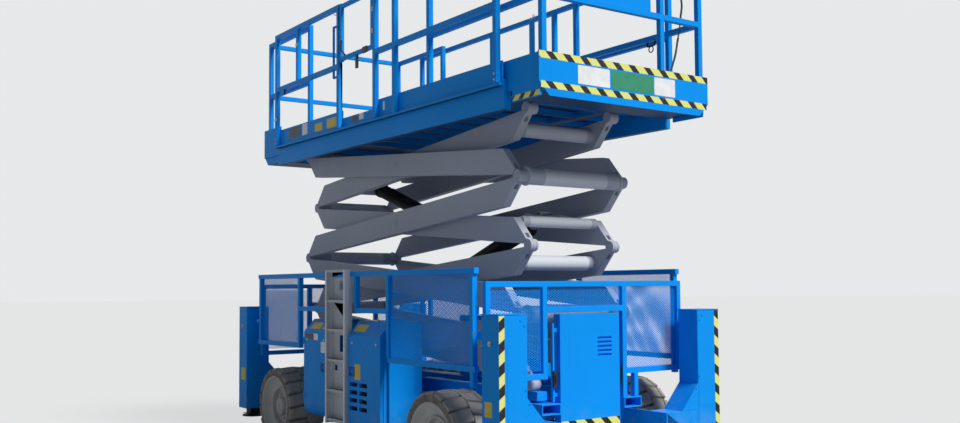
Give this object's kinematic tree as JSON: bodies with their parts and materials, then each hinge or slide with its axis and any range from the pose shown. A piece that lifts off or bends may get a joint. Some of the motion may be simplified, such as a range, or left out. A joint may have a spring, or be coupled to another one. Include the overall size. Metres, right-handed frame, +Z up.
{
  "type": "rough-terrain scissor lift",
  "caption": "Self-propelled scissor lift: railed work deck on stacked crossing arms over a wheeled chassis with corner outriggers.",
  "frame": {"origin": "on the ground, under the middle of the machine's overall length and width", "axes": "+X to the steered front end, +Y to the side without the ladder, +Z up"},
  "size_m": [4.957, 2.29, 4.3264],
  "materials": {
    "blue_paint": "bright blue gloss paint with light wear",
    "grey_paint": "mid grey satin paint",
    "light_grey_paint": "light grey satin paint",
    "dark_paint": "black satin paint",
    "rim_paint": "pale grey rim paint, dusty",
    "tyre_rubber": "worn rubber, dusty",
    "chrome_rod": "hard chrome",
    "black_plastic": "matt black plastic",
    "cast_steel": "dark castings"
  },
  "bodies": {
    "chassis": {"chassis_frame": "blue_paint", "outrigger_housings": "blue_paint", "front_axle": "cast_steel", "rear_axle": "cast_steel", "cage_sides": "blue_paint", "cage_ends": "blue_paint", "cage_mesh": "blue_paint", "bay_housings": "blue_paint", "bay_brackets": "blue_paint", "engine_block": "dark_paint", "ladder": "light_grey_paint", "front_box": "blue_paint", "bulkheads": "blue_paint", "fork_pockets": "blue_paint"},
    "platform": {"platform_deck": "blue_paint", "platform_rails": "blue_paint"},
    "front_extension": {"front_extension_deck": "blue_paint", "front_extension_rails": "blue_paint", "control_box": "black_plastic", "control_cable": "black_plastic"},
    "rear_extension": {"rear_extension_deck": "blue_paint", "rear_extension_rails": "blue_paint"},
    "entry_gate": {"entry_gate": "blue_paint"},
    "outer_arms_1": {"outer_arms_1": "grey_paint"},
    "outer_arms_2": {"outer_arms_2": "grey_paint"},
    "outer_arms_3": {"outer_arms_3": "grey_paint"},
    "outer_arms_4": {"outer_arms_4": "grey_paint"},
    "inner_arms_1": {"inner_arms_1": "grey_paint"},
    "inner_arms_2": {"inner_arms_2": "grey_paint"},
    "inner_arms_3": {"inner_arms_3": "grey_paint"},
    "inner_arms_4": {"inner_arms_4": "grey_paint"},
    "lift_cylinder_low_barrel": {"lift_cylinder_low_barrel": "dark_paint"},
    "lift_cylinder_low_rod": {"lift_cylinder_low_rod": "chrome_rod"},
    "lift_cylinder_high_barrel": {"lift_cylinder_high_barrel": "dark_paint"},
    "lift_cylinder_high_rod": {"lift_cylinder_high_rod": "chrome_rod"},
    "steering_knuckle_left": {"steering_knuckle_left": "cast_steel"},
    "wheel_front_left": {"tyre_front_left": "tyre_rubber", "rim_front_left": "rim_paint"},
    "outrigger_leg_front_left": {"outrigger_leg_front_left": "blue_paint"},
    "wheel_rear_left": {"tyre_rear_left": "tyre_rubber", "rim_rear_left": "rim_paint"},
    "outrigger_leg_rear_left": {"outrigger_leg_rear_left": "blue_paint"},
    "steering_knuckle_right": {"steering_knuckle_right": "cast_steel"},
    "wheel_front_right": {"tyre_front_right": "tyre_rubber", "rim_front_right": "rim_paint"},
    "outrigger_leg_front_right": {"outrigger_leg_front_right": "blue_paint"},
    "wheel_rear_right": {"tyre_rear_right": "tyre_rubber", "rim_rear_right": "rim_paint"},
    "outrigger_leg_rear_right": {"outrigger_leg_rear_right": "blue_paint"},
    "control_bay_door": {"control_bay_door": "blue_paint"},
    "engine_bay_door": {"engine_bay_door": "blue_paint"},
    "tank_bay_door": {"tank_bay_door": "blue_paint"},
    "battery_bay_door": {"battery_bay_door": "blue_paint"}
  },
  "joints": [
    {"name": "lift", "type": "hinge", "parent": "chassis", "child": "outer_arms_1", "pos_m": [-1.94101, 0, 0.82], "axis": [0, -1, 0], "range_deg": [-4.88, 45.26]},
    {"name": "inner_arms_1_pivot", "type": "hinge", "parent": "outer_arms_1", "child": "inner_arms_1", "pos_m": [-0.071, 0, 1.09414], "axis": [0, -1, 0], "range_deg": [-90.52, 9.77]},
    {"name": "inner_arms_2_pivot", "type": "hinge", "parent": "inner_arms_1", "child": "inner_arms_2", "pos_m": [-1.94101, 0, 1.36828], "axis": [0, -1, 0], "range_deg": [-9.77, 90.52]},
    {"name": "outer_arms_2_pivot", "type": "hinge", "parent": "inner_arms_2", "child": "outer_arms_2", "pos_m": [-0.071, 0, 1.64242], "axis": [0, -1, 0], "range_deg": [-90.52, 9.77]},
    {"name": "outer_arms_3_pivot", "type": "hinge", "parent": "outer_arms_2", "child": "outer_arms_3", "pos_m": [-1.94101, 0, 1.91656], "axis": [0, -1, 0], "range_deg": [-9.77, 90.52]},
    {"name": "inner_arms_3_pivot", "type": "hinge", "parent": "outer_arms_3", "child": "inner_arms_3", "pos_m": [-0.071, 0, 2.19069], "axis": [0, -1, 0], "range_deg": [-90.52, 9.77]},
    {"name": "inner_arms_4_pivot", "type": "hinge", "parent": "inner_arms_3", "child": "inner_arms_4", "pos_m": [-1.94101, 0, 2.46483], "axis": [0, -1, 0], "range_deg": [-9.77, 90.52]},
    {"name": "outer_arms_4_pivot", "type": "hinge", "parent": "inner_arms_4", "child": "outer_arms_4", "pos_m": [-0.071, 0, 2.73897], "axis": [0, -1, 0], "range_deg": [-90.52, 9.77]},
    {"name": "platform_pivot", "type": "hinge", "parent": "outer_arms_4", "child": "platform", "pos_m": [-1.94101, 0, 3.01311], "axis": [0, -1, 0], "range_deg": [-4.88, 45.26]},
    {"name": "lift_cylinder_low_barrel_pivot", "type": "hinge", "parent": "inner_arms_2", "child": "lift_cylinder_low_barrel", "pos_m": [-0.22699, 0, 1.58886], "axis": [0, -1, 0], "range_deg": [-0.4536, 0.0498]},
    {"name": "lift_cylinder_low_rod_slide", "type": "slide", "parent": "lift_cylinder_low_barrel", "child": "lift_cylinder_low_rod", "axis": [0.9442, 0, 0.3294], "range_m": [-0.0725, 0.6715]},
    {"name": "lift_cylinder_high_barrel_pivot", "type": "hinge", "parent": "inner_arms_3", "child": "lift_cylinder_high_barrel", "pos_m": [0.08499, 0, 2.13714], "axis": [0, -1, 0], "range_deg": [-0.0498, 0.4536]},
    {"name": "lift_cylinder_high_rod_slide", "type": "slide", "parent": "lift_cylinder_high_barrel", "child": "lift_cylinder_high_rod", "axis": [-0.9442, 0, 0.3294], "range_m": [-0.0725, 0.6715]},
    {"name": "steering_left", "type": "hinge", "parent": "chassis", "child": "steering_knuckle_left", "pos_m": [1.39401, 0.66, 0.39], "axis": [0, 0, 1], "range_deg": [-28, 28]},
    {"name": "wheel_front_left_spin", "type": "hinge", "parent": "steering_knuckle_left", "child": "wheel_front_left", "pos_m": [1.39401, 0.948, 0.39], "axis": [0, 1, 0], "continuous": true},
    {"name": "wheel_rear_left_spin", "type": "hinge", "parent": "chassis", "child": "wheel_rear_left", "pos_m": [-1.54601, 0.948, 0.39], "axis": [0, 1, 0], "continuous": true},
    {"name": "steering_right", "type": "hinge", "parent": "chassis", "child": "steering_knuckle_right", "pos_m": [1.39401, -0.66, 0.39], "axis": [0, 0, 1], "range_deg": [-28.01, 28.01]},
    {"name": "wheel_front_right_spin", "type": "hinge", "parent": "steering_knuckle_right", "child": "wheel_front_right", "pos_m": [1.39401, -0.948, 0.39], "axis": [0, 1, 0], "continuous": true},
    {"name": "wheel_rear_right_spin", "type": "hinge", "parent": "chassis", "child": "wheel_rear_right", "pos_m": [-1.54601, -0.948, 0.39], "axis": [0, 1, 0], "continuous": true},
    {"name": "outrigger_leg_front_left_slide", "type": "slide", "parent": "chassis", "child": "outrigger_leg_front_left", "axis": [0, 0, -1], "range_m": [0, 0.5]},
    {"name": "outrigger_leg_front_right_slide", "type": "slide", "parent": "chassis", "child": "outrigger_leg_front_right", "axis": [0, 0, -1], "range_m": [0, 0.5]},
    {"name": "outrigger_leg_rear_left_slide", "type": "slide", "parent": "chassis", "child": "outrigger_leg_rear_left", "axis": [0, 0, -1], "range_m": [0, 0.5]},
    {"name": "outrigger_leg_rear_right_slide", "type": "slide", "parent": "chassis", "child": "outrigger_leg_rear_right", "axis": [0, 0, -1], "range_m": [0, 0.5]},
    {"name": "control_bay_door_hinge", "type": "hinge", "parent": "chassis", "child": "control_bay_door", "pos_m": [-0.89601, -1.12, 0.8], "axis": [0, 0, -1], "range_deg": [0, 105]},
    {"name": "engine_bay_door_hinge", "type": "hinge", "parent": "chassis", "child": "engine_bay_door", "pos_m": [0.58401, -1.12, 0.8], "axis": [0, 0, 1], "range_deg": [0, 105]},
    {"name": "tank_bay_door_hinge", "type": "hinge", "parent": "chassis", "child": "tank_bay_door", "pos_m": [-0.89601, 1.12, 0.8], "axis": [0, 0, 1], "range_deg": [0, 105]},
    {"name": "battery_bay_door_hinge", "type": "hinge", "parent": "chassis", "child": "battery_bay_door", "pos_m": [0.58401, 1.12, 0.8], "axis": [0, 0, -1], "range_deg": [0, 105]},
    {"name": "entry_gate_hinge", "type": "hinge", "parent": "platform", "child": "entry_gate", "pos_m": [-0.489, -0.9225, 4], "axis": [0, 0, 1], "range_deg": [0, 90]},
    {"name": "front_extension_slide", "type": "slide", "parent": "platform", "child": "front_extension", "axis": [1, 0, 0], "range_m": [0, 1.2]},
    {"name": "rear_extension_slide", "type": "slide", "parent": "platform", "child": "rear_extension", "axis": [-1, 0, 0], "range_m": [0, 0.7]}
  ],
  "couplings": [
    {"joint": "inner_arms_1_pivot", "follows": "lift", "ratio": -2},
    {"joint": "inner_arms_2_pivot", "follows": "lift", "ratio": 2},
    {"joint": "outer_arms_2_pivot", "follows": "lift", "ratio": -2},
    {"joint": "outer_arms_3_pivot", "follows": "lift", "ratio": 2},
    {"joint": "inner_arms_3_pivot", "follows": "lift", "ratio": -2},
    {"joint": "inner_arms_4_pivot", "follows": "lift", "ratio": 2},
    {"joint": "outer_arms_4_pivot", "follows": "lift", "ratio": -2},
    {"joint": "platform_pivot", "follows": "lift", "ratio": 1},
    {"joint": "lift_cylinder_low_barrel_pivot", "follows": "lift", "ratio": -0.01},
    {"joint": "lift_cylinder_low_rod_slide", "follows": "lift", "m_per_rad": 0.85},
    {"joint": "lift_cylinder_high_barrel_pivot", "follows": "lift", "ratio": 0.01},
    {"joint": "lift_cylinder_high_rod_slide", "follows": "lift", "m_per_rad": 0.85},
    {"joint": "steering_right", "follows": "steering_left", "ratio": 1}
  ]
}
